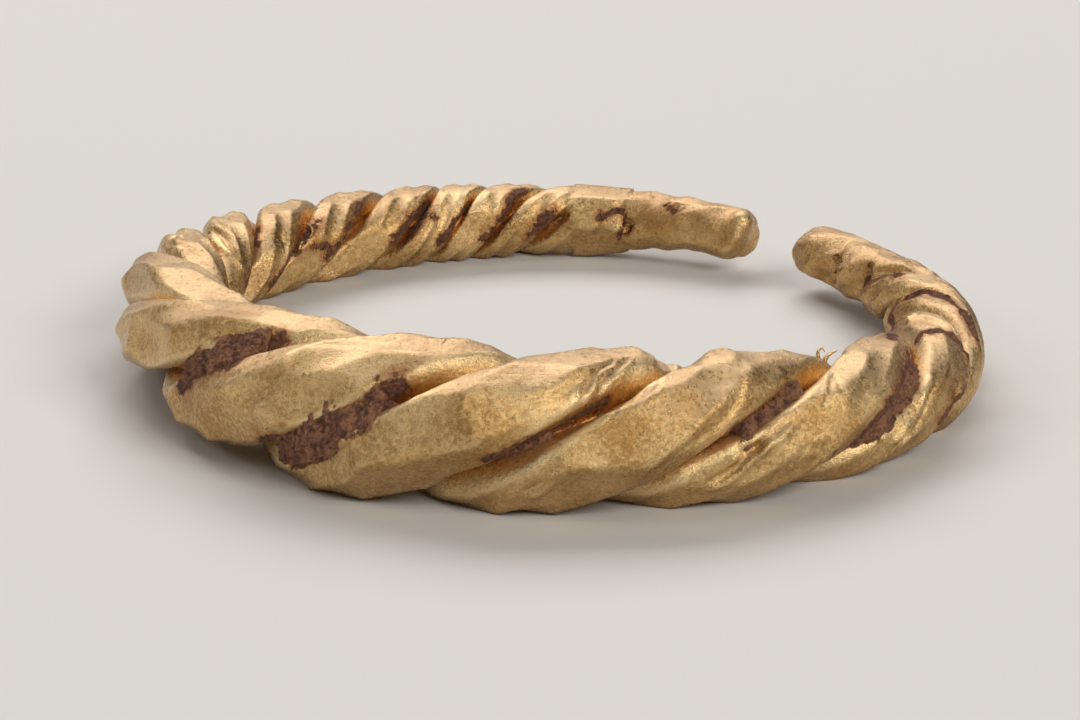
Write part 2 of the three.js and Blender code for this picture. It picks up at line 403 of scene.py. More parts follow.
def smooth_value(values, share):
    """A smooth curve through evenly spaced values, at shares from 0 to 1 of its length."""
    values = np.asarray(values, float)
    last = len(values) - 1
    place = np.clip(share, 0, 1) * last
    index = np.minimum(np.floor(place).astype(int), last - 1)
    part = place - index

    def at(number):
        return values[np.clip(number, 0, last)]

    start_slope = (at(index + 1) - at(index - 1)) / 2
    end_slope = (at(index + 2) - at(index)) / 2
    rise = at(index + 1) - at(index)
    return (
        at(index)
        + start_slope * part
        + (3 * rise - 2 * start_slope - end_slope) * part**2
        + (start_slope + end_slope - 2 * rise) * part**3
    )


def smooth_step(low, high, values):
    part = np.clip((values - low) / (high - low), 0, 1)
    return part * part * (3 - 2 * part)


def unit(vectors):
    return vectors / np.linalg.norm(vectors, axis=-1, keepdims=True)


def ring_share(angle):
    return (angle - FIRST_END_ANGLE) / (LAST_END_ANGLE - FIRST_END_ANGLE)


def half_thickness(angle):
    return smooth_value(THICKNESS_SHARES, ring_share(angle)) * BUNDLE_THICKNESS / 2


def bundle_centre(angle):
    share = ring_share(angle)
    reach = smooth_value(REACH_SHARES, share) * BEND_RADIUS
    lift = smooth_value(LIFT_SHARES, share) * BUNDLE_THICKNESS
    height = half_thickness(angle) + lift - RESTING_CUT
    turned = np.radians(angle)
    return np.stack([reach * np.cos(turned), reach * np.sin(turned), height], -1)


def bundle_frame(angle):
    """The bundle's own directions: along it, outward from the ring, and up."""
    inside = np.clip(angle, FIRST_END_ANGLE + 0.5, LAST_END_ANGLE - 0.5)
    along = unit(bundle_centre(inside + 0.5) - bundle_centre(inside - 0.5))
    turned = np.radians(inside)
    outward = np.stack([np.cos(turned), np.sin(turned), 0 * turned], -1)
    outward = unit(outward - along * (along * outward).sum(-1, keepdims=True))
    return along, outward, np.cross(outward, along)


def angle_at_groove(place):
    return smooth_value(GROOVE_ANGLES, place / (len(GROOVE_ANGLES) - 1))


def groove_at_angle(angle):
    places = np.linspace(0, len(GROOVE_ANGLES) - 1, GROOVE_STEPS)
    return np.interp(angle, angle_at_groove(places), places)


def welded_share(angle):
    """How far the rods have merged into a welded end: 0 where they are separate, 1 at the end."""
    arcs = (np.radians(angle - FIRST_END_ANGLE), np.radians(LAST_END_ANGLE - angle))
    fades = [1 - arc * BEND_RADIUS / length for arc, length in zip(arcs, WELD_LENGTHS)]
    return smooth_step(0, WELD_FADE, np.maximum(*fades))


def block_share(angle):
    """Where the rods are beaten together into a squarish block: 1 inside it, 0 away from it."""
    outside = np.maximum(BLOCK_ANGLES[0] - angle, angle - BLOCK_ANGLES[1])
    return 1 - smooth_step(0, BLOCK_FADE, outside)


def ring_rows():
    """The angle, groove place, size and reach past the end of each row across the bundle."""
    even = np.linspace(FIRST_END_ANGLE, LAST_END_ANGLE, ANGLE_STEPS)
    weight = np.cumsum(half_thickness(even) ** ROW_SPREAD)
    angle = np.interp(np.linspace(weight[0], weight[-1], ROW_COUNT), weight, even)
    rows = (angle, np.ones(ROW_COUNT), np.zeros(ROW_COUNT))
    first, last = (end_rows(end, edge) for end, edge in enumerate((FIRST_END_ANGLE, LAST_END_ANGLE)))
    before = (first[0][::-1], first[1][::-1], -first[2][::-1])
    angle, size, past = (np.concatenate(parts) for parts in zip(before, rows, last))
    return angle, groove_at_angle(angle), size, past


def end_rows(end, edge):
    """The angle, size and reach past the end of the rows that round an end off."""
    reach, size = np.array(END_ROUNDINGS[end]).T
    return np.full(len(reach), edge), size, reach * half_thickness(edge)


def uneven_sine(pace, place, rod, face):
    return np.sin(pace[0] * place + pace[1] * rod + pace[2] * face)


def rod_face(corner, rod, place, half):
    """The reach of a rod's hammered faces at a corner round it, as a share of its radius."""
    reach = np.ones_like(place)
    for number, (face, face_reach) in enumerate(ROD_FACES):
        drift = FACE_DRIFT * uneven_sine(DRIFT_PACE, place, rod, number)
        limit = face_reach + FACE_SWAY * uneven_sine(SWAY_PACE, place, rod, number)
        apart = np.radians(np.clip(corner - face - drift, -FACE_HALF_WIDTH, FACE_HALF_WIDTH))
        reach = np.minimum(reach, limit / np.cos(apart))
    thick = smooth_step(*THIN_TO_THICK, 2 * half / BUNDLE_THICKNESS)
    return 1 - (1 - reach) * (THIN_FACES + (1 - THIN_FACES) * thick)


def bundle_grid():
    """The ring's surface before hammering, as points by row and column, and what each row is."""
    angle, place, size, past = ring_rows()
    half = half_thickness(angle)
    along, outward, up = bundle_frame(angle)
    middle = bundle_centre(angle) + along * past[:, None]
    step = np.radians(angle_at_groove(place + 0.5) - angle_at_groove(place - 0.5)) * BEND_RADIUS
    lay = np.arctan(2 * np.pi * ROD_OFFSET * half / (ROD_COUNT * step))
    welded = welded_share(angle)
    merged = np.maximum(welded, block_share(angle))
    twist = ROD_STEP * (place - GROOVE_AT_FRONT)
    columns = []
    for rod in range(ROD_COUNT):
        rod_direction = twist + (rod + 0.5) * ROD_STEP
        for corner in np.linspace(-FACET_ARC, FACET_ARC, COLUMNS_PER_ROD):
            radius = ROD_RADIUS * half * rod_face(corner, rod, place, half)
            outwards = ROD_OFFSET * half + radius * math.cos(math.radians(corner))
            outwards = np.minimum(outwards, OUTER_FLAT * half)
            sideways = radius / np.cos(lay) * math.sin(math.radians(corner))
            direction = np.degrees(np.arctan2(sideways, outwards))
            distance = np.hypot(outwards, sideways)
            into_groove = (np.abs(direction) - ROD_STEP / 2) / GROOVE_WIDTH
            distance -= GROOVE_DEPTH * half * np.exp(-(into_groove**2))
            distance = distance * (1 - merged) + half * merged
            even = corner / FACET_ARC * MERGED_ARC
            columns.append((distance, rod_direction + direction * (1 - merged) + even * merged))
        floor = half * (GROOVE_FLOOR * (1 - merged) + merged)
        columns.append((floor, rod_direction + ROD_STEP / 2))
    points = np.empty((len(angle), len(columns), 3))
    for index, (distance, direction) in enumerate(columns):
        turned = np.radians(direction)
        side = outward * (distance * np.cos(turned))[:, None]
        rise = up * np.minimum(distance * np.sin(turned), TOP_FLAT * half)[:, None]
        points[:, index] = middle + (side + rise) * size[:, None]
    return points, {"angle": angle, "half": half, "welded": welded, "merged": merged, "middle": middle}


def surface_directions(points):
    """The direction that faces away from the surface at every point of the grid."""
    along = np.gradient(points, axis=0)
    across = np.roll(points, -1, 1) - np.roll(points, 1, 1)
    return unit(np.cross(along, across) + TINY)


def waves(points, wavelength, seed, count=14, spread=(0.7, 1.6)):
    """Slow, repeatable unevenness from about -1 to 1, as a sum of waves in random directions."""
    random = np.random.default_rng(seed)
    directions = unit(random.normal(size=(count, 3)))
    lengths = wavelength * random.uniform(*spread, count)
    phases = random.uniform(0, 2 * np.pi, count)
    total = np.zeros(points.shape[:-1])
    for direction, length, phase in zip(directions, lengths, phases):
        total += np.sin(points @ direction * (2 * np.pi / length) + phase)
    return total / math.sqrt(count)


def smoothed(values, axis, centre=1):
    """Each value averaged with the two beside it, where its own counts a number of times."""
    return (np.roll(values, 1, axis) + centre * values + np.roll(values, -1, axis)) / (centre + 2)


def facing(turn, rise):
    """A direction from its degrees to the right of the camera's side and above the horizon."""
    turn, rise = math.radians(turn), math.radians(rise)
    return np.array([math.cos(rise) * math.sin(turn), -math.cos(rise) * math.cos(turn), math.sin(rise)])


class HammeredRing:
    """The ring's surface as a grid of points, worked with flats, creases and lumps."""

    def __init__(self):
        self.points, rows = bundle_grid()
        self.angle = rows["angle"]
        self.half = rows["half"]
        self.middle = rows["middle"]
        self.welded = rows["welded"]
        self.per_rod = COLUMNS_PER_ROD + 1
        self.marks = {name: np.zeros(self.points.shape[:2]) for name in ("stain", "pitted", "sparkle")}
        self.spacing = np.linalg.norm(np.diff(self.middle, axis=0), axis=1).mean()
        share = np.linalg.norm(self.points - self.middle[:, None], axis=-1) / self.half[:, None]
        self.marks["groove"] = (1 - smooth_step(*IN_GROOVE, share)) * (1 - rows["merged"][:, None])
        self.look()

    def look(self):
        """Works out where the camera sees each point, in the photograph's pixels."""
        seen = self.points + np.array([0, 0, RESTING_CUT])
        self.depth = CAMERA_DISTANCE - seen @ TO_CAMERA
        scale = FOCAL_PIXELS / self.depth
        self.pixel_x = RING_MIDDLE_PIXEL[0] + scale * seen[..., 0]
        self.pixel_y = RING_MIDDLE_PIXEL[1] - scale * (seen @ PICTURE_UP)
        self.outside = surface_directions(self.points)
        self.faces_camera = self.outside @ TO_CAMERA > GRAZING

    def seen_at(self, pixel):
        """The row and the column of the point that the camera sees at a pixel."""
        off = np.hypot(self.pixel_x - pixel[0], self.pixel_y - pixel[1])
        off = np.where(self.faces_camera, off, np.inf)
        close = off < max(SEEN_WITHIN, off.min() + SEEN_SLACK)
        nearest = self.depth[close].min()
        off = np.where(close & (self.depth < nearest + SEEN_DEPTH), off, np.inf)
        return np.unravel_index(np.argmin(off), off.shape)

    def window(self, row, column, reach, whole):
        """The rows and the columns of a rod, or of the whole bundle, around a point."""
        span = int(WINDOW_MARGIN * reach / self.spacing) + 2
        rows = slice(max(0, row - span), min(len(self.angle), row + span))
        rod = column // self.per_rod
        columns = slice(None) if whole else slice(rod * self.per_rod, (rod + 1) * self.per_rod)
        return rows, columns

    def cut(self, row, column, normal, depth, reach, whole=False):
        """Cuts a plane to a depth below the highest point near a place on the surface."""
        rows, columns = self.window(row, column, reach, whole)
        part = self.points[rows, columns]
        share = np.linalg.norm(part - self.points[row, column], axis=-1) / reach
        heights = part @ normal
        over = (heights - heights[share < CUT_CORE].max() + depth) / EDGE_SOFTNESS
        over = EDGE_SOFTNESS * np.logaddexp(0, np.clip(over, *SOFT_RANGE))
        over = np.minimum(over, CUT_LIMIT * depth) * (1 - smooth_step(CUT_FADE, 1, share))
        self.points[rows, columns] = part - over[..., None] * normal

    def flat(self, at, turn, rise, depth, reach=FLAT_REACH, lean=FLAT_LEAN, whole=False):
        """A flat seen at a pixel, leaning from the rod's own surface towards a direction."""
        row, column = self.seen_at(at)
        own = self.outside[row, column]
        wanted = facing(turn, rise)
        between = math.degrees(math.acos(np.clip(own @ wanted, -1, 1)))
        sideways = unit(wanted - own * (own @ wanted) + NUDGE)
        lean = math.radians(min(between, lean))
        normal = own * math.cos(lean) + sideways * math.sin(lean)
        self.cut(row, column, normal, depth, reach, whole)

    def hammer_all_over(self):
        """Small flats side by side on every rod, in rows along it."""
        random = np.random.default_rng(HAMMER_SEED)
        last = len(self.angle) - 1
        step = int(HAMMER_SPACING / self.spacing)
        for rod in range(ROD_COUNT):
            for corner, _ in ROD_FACES:
                share = (corner + FACET_ARC) / (2 * FACET_ARC)
                for row in range(HAMMER_MARGIN, last + 1 - HAMMER_MARGIN, step):
                    size = self.half[row] / (BUNDLE_THICKNESS / 2)
                    wander = random.uniform(-HAMMER_WANDER, HAMMER_WANDER)
                    own_row = int(np.clip(row + wander * step, 1, last - 1))
                    shift = random.uniform(-HAMMER_SHIFT, HAMMER_SHIFT)
                    place = share * (COLUMNS_PER_ROD - 1) + shift
                    column = rod * self.per_rod + int(np.clip(round(place), 0, COLUMNS_PER_ROD - 1))
                    tilt = np.tan(np.radians(random.normal(0, HAMMER_TILT, 3)))
                    normal = unit(self.outside[own_row, column] + tilt)
                    depth = random.uniform(*HAMMER_DEPTHS) * size**2
                    self.cut(own_row, column, normal, depth, HAMMER_REACH * size)

    def near_stroke(self, pixels, reach, whole=False):
        """How far along a stroke and how far to its side the nearby points of its rod lie."""
        places = [self.seen_at(pixel) for pixel in pixels]
        steps = np.linspace(0, len(places) - 1, STROKE_STEPS * (len(places) - 1) + 1)

        def along_stroke(values):
            values = np.array([values[place] for place in places])
            numbers = range(len(places))
            return np.stack([np.interp(steps, numbers, values[:, axis]) for axis in range(3)], -1)

        line, normals = along_stroke(self.points), along_stroke(self.outside)
        row, column = places[len(places) // 2]
        length = np.linalg.norm(np.diff(line, axis=0), axis=1).sum()
        rows, columns = self.window(row, column, length / 2 + 3 * reach, whole)
        offsets = self.points[rows, columns][..., None, :] - line
        distances = np.linalg.norm(offsets, axis=-1)
        nearest = distances.argmin(-1)
        away = np.take_along_axis(offsets, nearest[..., None, None], -2)[..., 0, :]
        side = unit(np.cross(np.gradient(line, axis=0), normals))[nearest]
        return rows, columns, nearest / (len(line) - 1), (away * side).sum(-1), distances.min(-1)

    def crease(self, pixels, width, depth, lip, whole=False):
        """A fold in the metal along a stroke: a sharp groove with a raised lip beside it."""
        start, end = (width * fade for fade in CREASE_FADE)
        rows, columns, share, side, distance = self.near_stroke(pixels, end, whole)
        part = self.points[rows, columns]
        side = side + CREASE_WANDER * width * waves(part, WANDER_LENGTH, WANDER_SEED)
        ends = smooth_step(0, CREASE_ENDS, share) * smooth_step(0, CREASE_ENDS, 1 - share)
        close = 1 - smooth_step(start, end, distance)
        groove = -depth * np.exp(-((side / width) ** 2))
        raised = lip * np.exp(-(((side - LIP_PLACE * width) / (LIP_WIDTH * width)) ** 2))
        change = (groove + raised) * ends * close
        self.points[rows, columns] = part + change[..., None] * self.outside[rows, columns]

    def square_block(self):
        """Squares the block that the rods are beaten into, with a flat on each side that is seen."""
        offset = self.points - self.middle[:, None]
        reach = np.linalg.norm(offset, axis=-1)
        ray = offset / reach[..., None]
        square = np.full(reach.shape, np.inf)
        towards = np.zeros(reach.shape)
        for turn, rise, share in BLOCK_FACES.values():
            part = np.maximum(ray @ facing(turn, rise), BLOCK_LEAST)
            square = np.minimum(square, share * self.half[:, None] / part)
            towards = np.maximum(towards, part)
        inside = smooth_step(*BLOCK_INSIDE, block_share(self.angle))[:, None]
        change = smooth_step(*BLOCK_TOWARDS, towards) * inside * (square - reach)
        self.points += change[..., None] * ray

    def step_down(self, start, end, drop, whole=False):
        """Lowers the top of a rod by a step, from one pixel along it to another."""
        (first, column), (last, _) = self.seen_at(start), self.seen_at(end)
        _, columns = self.window(first, column, 0, whole)
        rows = slice(min(first, last), max(first, last))
        heights = self.points[rows, columns, 2]
        place = np.linspace(0, 1, heights.shape[0])[:, None]
        if last < first:
            place = place[::-1]
        limit = heights.max(1, keepdims=True) - drop * (1 - smooth_step(STEP_FADE, 1, place))
        self.points[rows, columns, 2] = np.minimum(heights, limit)

    def push(self, at, amount, reach, whole=False):
        """A round swelling around what is seen at a pixel."""
        row, column = self.seen_at(at)
        centre = self.points[row, column]
        rows, columns = self.window(row, column, 2 * reach, whole)
        part = self.points[rows, columns]
        share = np.linalg.norm(part - centre, axis=-1) / reach
        raised = amount * np.exp(-(share**2))
        self.points[rows, columns] = part + raised[..., None] * self.outside[rows, columns]

    def mark(self, kind, pixels, width, amount=1.0):
        """Marks the surface along a stroke for its material, over every rod that it touches."""
        rows, columns, _, _, distance = self.near_stroke(pixels, MARK_REACH * width, True)
        added = amount * np.exp(-((distance / width) ** 2))
        marks = self.marks[kind]
        marks[rows, columns] = np.maximum(marks[rows, columns], added)

    def mark_all(self, kind, patches, amount=1.0, widening=1.0):
        for pixels, width in patches.values():
            self.mark(kind, pixels, widening * width, amount)

    def groove_at(self, pixel):
        """The place along the bundle that the camera sees at a pixel, and the groove there."""
        row, column = self.seen_at(pixel)
        place = groove_at_angle(self.angle[row])
        offset = self.points[row, column] - self.middle[row]
        _, outward, up = bundle_frame(self.angle[row])
        direction = math.degrees(math.atan2(offset @ up, offset @ outward))
        return place, round(place - direction / ROD_STEP)

    def mark_wear_and_painted_light(self):
        """Notes how far each point stands out from those beside it, as a ridge or a hollow does, for rubbed
        wear and a painted highlight on ridges and painted shade in hollows.
        """
        points = self.points
        beside = (np.roll(points, 2, 1) + np.roll(points, -2, 1)) / 2
        along = points.copy()
        along[2:-2] = (points[4:] + points[:-4]) / 2
        out = ((2 * points - beside - along) * surface_directions(points)).sum(-1)
        out = smoothed(smoothed(out, 0), 1)
        self.marks["worn"] = np.clip(out / RIDGE_AND_HOLLOW_HEIGHT, -1, 1)

    def roughen(self, wavelength, amount, seed):
        outside = surface_directions(self.points)
        self.points += (amount * waves(self.points, wavelength, seed))[..., None] * outside


def soil_patch(ring, start, end, level, seed, width):
    """Packed soil in a groove, between two pixels along it, filled to a share of the bundle."""
    (first, groove), (last, _) = ring.groove_at(start), ring.groove_at(end)
    random = np.random.default_rng(seed)
    step = abs(math.radians(angle_at_groove(last) - angle_at_groove(first))) * BEND_RADIUS
    rows = int(step / SOIL_GRAIN) + 12
    places = np.linspace(first, last, rows)
    angle = angle_at_groove(places)
    half = half_thickness(angle)
    _, outward, up = bundle_frame(angle)
    across = int(2 * math.radians(width) * level * half.mean() / SOIL_GRAIN)
    bottom_direction = ROD_STEP * (places - groove)[:, None]
    direction = np.radians(bottom_direction + np.linspace(-width, width, across))
    share = np.linspace(0, 1, rows)
    ends = smooth_step(0, SOIL_ENDS, share) * smooth_step(0, SOIL_ENDS, 1 - share)
    centre = bundle_centre(angle)

    def at(distance, turned):
        side = outward[:, None] * (distance * np.cos(turned))[..., None]
        return centre[:, None] + side + up[:, None] * (distance * np.sin(turned))[..., None]

    even = at(half[:, None] * level + 0 * direction, direction)
    grains = random.normal(size=(rows, across))
    grains = smoothed(smoothed(grains, 0, 2), 1, 2)
    ragged = sum(
        amount * waves(even, wavelength, seed + number)
        for number, (amount, wavelength) in enumerate(SOIL_RAGGEDNESS, 1)
    )
    fill = level * (1 + ragged) * ends[:, None] + SOIL_END_LEVEL * (1 - ends[:, None])
    surface = at(half[:, None] * fill + SOIL_ROUGHNESS * grains, direction)
    bottom = at(SOIL_BOTTOM * half[:, None], np.radians(bottom_direction))
    return np.concatenate([surface, bottom], axis=1)


def work(ring, steps, whole=False):
    """Works on a rod, or on the whole bundle, with the tools of a table in its order."""
    for tool, at, *sizes in steps.values():
        getattr(ring, tool)(at, *sizes, whole=whole)


def hammer_the_ends(ring):
    """Larger flats and lumps round the two welded ends, across all the rods."""
    random = np.random.default_rng(END_SEED)
    for row in range(END_MARGIN, len(ring.angle) - END_MARGIN, END_ROW_STEP):
        if ring.welded[row] < END_WELDED:
            continue
        for _ in range(END_BLOWS):
            column = int(random.integers(ring.points.shape[1]))
            tilt = np.tan(np.radians(random.normal(0, END_TILT, 3)))
            normal = unit(ring.outside[row, column] + tilt)
            ring.cut(row, column, normal, random.uniform(*END_DEPTHS), END_REACH, whole=True)
    outside = surface_directions(ring.points)
    lumps = sum(height * waves(ring.points, wavelength, seed) for height, wavelength, seed in END_LUMPS)
    ring.points += (lumps * ring.welded[:, None])[..., None] * outside


def mark_the_ring(ring):
    """Where the soil has stained the metal, where it is pitted, and where its crystals glitter."""
    ring.mark_all("stain", STAINS_UNDER_SOIL, amount=0.9)
    ring.mark_all("stain", THIN_SOIL, amount=0.5, widening=2.2)
    ring.mark_all("stain", THIN_SOIL, amount=1.2)
    ring.mark_all("stain", STAINS_AT_THE_BACK, amount=0.72)
    ring.mark_all("stain", SMALL_STAINS, amount=0.85)
    ring.mark_all("pitted", PITTED_PATCHES)
    ring.mark_all("sparkle", GLITTERING_PATCHES)


def burr(ring, route, thickness):
    """A curl of metal torn up from the surface, along pixels that start where it is rooted."""
    row, column = ring.seen_at(route[0])
    root = ring.points[row, column] - BURR_ROOT * ring.outside[row, column]
    side = np.array([1, 0, 0])
    scale = FOCAL_PIXELS / ring.depth[row, column]
    offsets = (np.array(route, float) - route[0]) / scale
    corners = root + offsets[:, :1] * side - offsets[:, 1:] * PICTURE_UP
    steps = np.linspace(0, 1, BURR_STEPS * len(corners))
    line = np.stack([smooth_value(corners[:, axis], steps) for axis in range(3)], -1)
    heading = unit(np.gradient(line, axis=0))
    broad = unit(np.cross(heading, PICTURE_UP + side) + NUDGE)
    narrow = BURR_FLATNESS * np.cross(heading, broad)
    size = thickness * (BURR_TAPER - steps**2)[:, None, None]
    turned = np.linspace(0, 2 * np.pi, BURR_SIDES, endpoint=False)[None, :, None]
    return line[:, None] + size * (broad[:, None] * np.cos(turned) + narrow[:, None] * np.sin(turned))


def linked(name, data):
    """A new object for a mesh, a light or a camera, linked into the scene."""
    item = bpy.data.objects.new(name, data)
    bpy.context.collection.objects.link(item)
    return item


def grid_mesh(name, points, material):
    """A smooth mesh over rows of points that run round a closed outline, with a fan over each end."""
    rows, across = points.shape[:2]
    flat = points.reshape(-1, 3)
    row = np.arange(rows - 1)[:, None] * across
    column = np.arange(across)[None]
    beside = (column + 1) % across
    quads = np.stack([row + column, row + across + column, row + across + beside, row + beside], -1)
    faces = quads.reshape(-1, 4).tolist()
    vertices = np.concatenate([flat, [points[0].mean(0), points[-1].mean(0)]])
    first_middle, last_middle = len(flat), len(flat) + 1
    last_row = (rows - 1) * across
    for index in range(across):
        following = (index + 1) % across
        faces.append((first_middle, index, following))
        faces.append((last_middle, last_row + following, last_row + index))
    mesh = bpy.data.meshes.new(name)
    mesh.from_pydata(vertices.tolist(), [], faces)
    mesh.update()
    mesh.materials.append(material)
    mesh.shade_smooth()
    return linked(name, mesh)


def colour(red, green, blue):
    """A colour given as it looks on a screen, from 0 to 255, as a material takes it."""
    shares = [value / 255 for value in (red, green, blue)]
    return [share / 12.92 if share <= 0.04045 else ((share + 0.055) / 1.055) ** 2.4 for share in shares] + [1]


class Shader:
    """A material's nodes, added one after another."""

    def __init__(self, name):
        self.material = bpy.data.materials.new(name)
        self.material.use_nodes = True
        self.tree = self.material.node_tree
        self.surface = self.tree.nodes["Principled BSDF"]
        self.place = self.node("ShaderNodeTexCoord").outputs["Object"]
        self.place = self.vector("MULTIPLY", self.place, (1 / MM, 1 / MM, 1 / MM))

    def node(self, kind, inputs=(), **settings):
        node = self.tree.nodes.new(kind)
        for name, value in settings.items():
            setattr(node, name, value)
        for name, value in dict(inputs).items():
            self.put(node.inputs[name], value)
        return node

    def put(self, socket, value):
        if isinstance(value, bpy.types.NodeSocket):
            self.tree.links.new(value, socket)
        else:
            socket.default_value = value

    def finish(self, values):
        """Gives the surface its values, by the names of its inputs."""
        for name, value in values.items():
            self.put(self.surface.inputs[name], value)
        return self.material

    def vector(self, operation, first, second):
        return self.node("ShaderNodeVectorMath", {0: first, 1: second}, operation=operation).outputs[0]

    def math(self, operation, first, second):
        return self.node("ShaderNodeMath", {0: first, 1: second}, operation=operation).outputs[0]

    def plus(self, first, second):
        return self.math("ADD", first, second)

    def minus(self, first, second):
        return self.math("SUBTRACT", first, second)

    def times(self, first, second):
        return self.math("MULTIPLY", first, second)

    def larger(self, first, second):
        return self.math("MAXIMUM", first, second)

    def noise(self, scale, detail, stretch=(1, 1, 1), shift=0.0, roughness=0.5):
        place = self.vector("MULTIPLY", self.place, stretch)
        place = self.vector("ADD", place, (shift, shift, shift))
        inputs = {"Vector": place, "Scale": scale, "Detail": detail, "Roughness": roughness}
        return self.node("ShaderNodeTexNoise", inputs).outputs["Fac"]

    def between(self, value, low, high, to_low=0.0, to_high=1.0):
        inputs = {"Value": value, "From Min": low, "From Max": high, "To Min": to_low, "To Max": to_high}
        return self.node("ShaderNodeMapRange", inputs, interpolation_type="SMOOTHSTEP").outputs["Result"]

    def mix(self, share, first, second):
        inputs = {"Factor": share, "A": first, "B": second}
        return self.node("ShaderNodeMix", inputs, data_type="RGBA").outputs["Result"]

    def tint(self, share, base, shade):
        """The base, coloured by a shade as far as a share says."""
        return self.mix(share, base, colour(*shade))

    def mark(self, name):
        return self.node("ShaderNodeAttribute", attribute_name=name).outputs["Fac"]

    def upward(self):
        """How far the surface faces up, from -1 to 1."""
        normal = self.node("ShaderNodeNewGeometry").outputs["Normal"]
        return self.node("ShaderNodeSeparateXYZ", {0: normal}).outputs["Z"]

    def bump(self, height, distance):
        inputs = {"Height": height, "Distance": distance * MM, "Strength": 1.0}
        return self.node("ShaderNodeBump", inputs).outputs["Normal"]


def gold_material():
    shader = Shader("gold")
    plus, minus, times = shader.plus, shader.minus, shader.times
    noise, between, tint, larger = shader.noise, shader.between, shader.tint, shader.larger
    broad = noise(scale=0.5, detail=4, roughness=0.6)
    fine = noise(scale=6.5, detail=6, shift=7, roughness=0.65)
    tone = plus(times(broad, 0.5), times(fine, 0.5))
    base = tint(between(tone, 0.36, 0.62), colour(*GOLD_DULL), GOLD_PALE)

    # What faces up is paler and duller: partly a film of dust, partly painted top light
    upward = shader.upward()
    dust_and_top_light = between(upward, 0.45, 1.0, to_high=0.38)
    dust_and_top_light = times(dust_and_top_light, between(fine, 0.25, 0.75, to_low=0.5))
    base = tint(dust_and_top_light, base, DUST_AND_PAINTED_TOP_LIGHT)

    # The metal in the grooves is painted lighter and more orange: a painted reflection of light from the
    # metal opposite
    groove = shader.mark("groove")
    base = tint(between(groove, 0.05, 0.7, to_high=0.55), base, PAINTED_GROOVE_GLOW)

    # Ridges are painted brighter, as rubbed wear with a painted highlight; hollows and undersides are painted
    # darker, as painted shade
    worn = shader.mark("worn")
    base = tint(between(worn, 0.45, 1.0, to_high=0.6), base, RUBBED_GOLD_AND_PAINTED_HIGHLIGHT)
    base = tint(between(worn, -0.15, -0.9, to_high=0.4), base, PAINTED_HOLLOW_SHADE)
    # Painted shade: what faces down is darker
    base = tint(between(upward, -0.1, -0.8, to_high=0.5), base, PAINTED_UNDERSIDE_SHADE)

    # Pits and specks, with more pits in the pitted patches, which are reddish
    pitted = shader.mark("pitted")
    pit_noise = noise(scale=8, detail=3, shift=31, roughness=0.6)
    limit = plus(0.3, times(pitted, 0.125))
    pits = between(minus(limit, pit_noise), 0.0, 0.06)
    base = tint(times(pits, 0.55), base, PIT)
    specks = noise(scale=14, detail=2, shift=47)
    base = tint(between(specks, 0.33, 0.26, to_high=0.6), base, SPECK)
    base = tint(times(pitted, between(fine, 0.45, 0.6, to_high=0.5)), base, RED_PATCH)

    # Soil that stains the metal
    edge = noise(scale=2.6, detail=8, shift=13, roughness=0.72)
    in_the_bottom = between(groove, 0.7, 1.0, to_high=0.42)
    stain = larger(shader.mark("stain"), in_the_bottom)
    ragged = plus(stain, times(minus(edge, 0.5), 1.7))
    warm = between(ragged, 0.0, 0.6, to_high=0.7)
    base = tint(times(warm, between(stain, 0.02, 0.25)), base, STAIN_EDGE)
    soiled = times(between(ragged, 0.5, 0.62), between(stain, 0.05, 0.2))
    soil_noise = noise(scale=6, detail=5, shift=3, roughness=0.65)
    soil = tint(between(soil_noise, 0.35, 0.68), colour(*STAIN_DARK), STAIN_PALE)
    base = shader.mix(soiled, base, soil)

    # Relief: grain, glittering crystals, scratches both ways, pits and the grit of the soil
    grain = noise(scale=8, detail=7, shift=17, roughness=0.7)
    sparkle = noise(scale=16, detail=3, shift=5, roughness=0.6)
    where = larger(shader.mark("sparkle"), between(broad, 0.48, 0.62, to_low=0.05, to_high=0.4))
    along = noise(scale=2.5, detail=4, stretch=(0.5, 7, 4), shift=2, roughness=0.7)
    across = noise(scale=2.5, detail=4, stretch=(5, 1, 6), shift=9, roughness=0.7)
    height = times(grain, 0.36)
    height = plus(height, times(times(sparkle, where), 0.6))
    height = plus(height, times(plus(along, across), 0.35))
    height = minus(height, times(pits, 0.15))
    height = plus(height, times(soiled, times(edge, 2.2)))

    rough = between(fine, 0.3, 0.7, to_low=0.2, to_high=0.32)
    rough = plus(rough, times(dust_and_top_light, 0.3))
    rough = larger(rough, times(soiled, 0.9))
    metallic = times(minus(1, times(dust_and_top_light, 0.5)), minus(1, soiled))
    relief = shader.bump(height, GOLD_RELIEF)
    return shader.finish({"Base Color": base, "Metallic": metallic, "Roughness": rough, "Normal": relief})


def soil_material():
    shader = Shader("soil")
    coarse = shader.noise(scale=2.2, detail=6, roughness=0.7)
    fine = shader.noise(scale=9, detail=5, shift=4, roughness=0.75)
    tone = shader.plus(shader.times(coarse, 0.5), shader.times(fine, 0.5))
    earth = shader.tint(shader.between(tone, 0.38, 0.6), colour(*SOIL_DARK), SOIL_PALE)
    relief = shader.bump(tone, SOIL_RELIEF)
    return shader.finish({"Base Color": earth, "Roughness": 0.9, "Normal": relief})


def make_floor():
    mesh = bpy.data.meshes.new("floor")
    sides = ((-1, -1), (1, -1), (1, 1), (-1, 1))
    corners = [(x * FLOOR_REACH, y * FLOOR_REACH, 0) for x, y in sides]
    mesh.from_pydata(corners, [], [(0, 1, 2, 3)])
    floor = linked("floor", mesh)
    material = bpy.data.materials.new("floor")
    material.use_nodes = True
    shader = material.node_tree.nodes["Principled BSDF"]
    shader.inputs["Base Color"].default_value = FLOOR_COLOUR
    shader.inputs["Roughness"].default_value = FLOOR_ROUGHNESS
    mesh.materials.append(material)


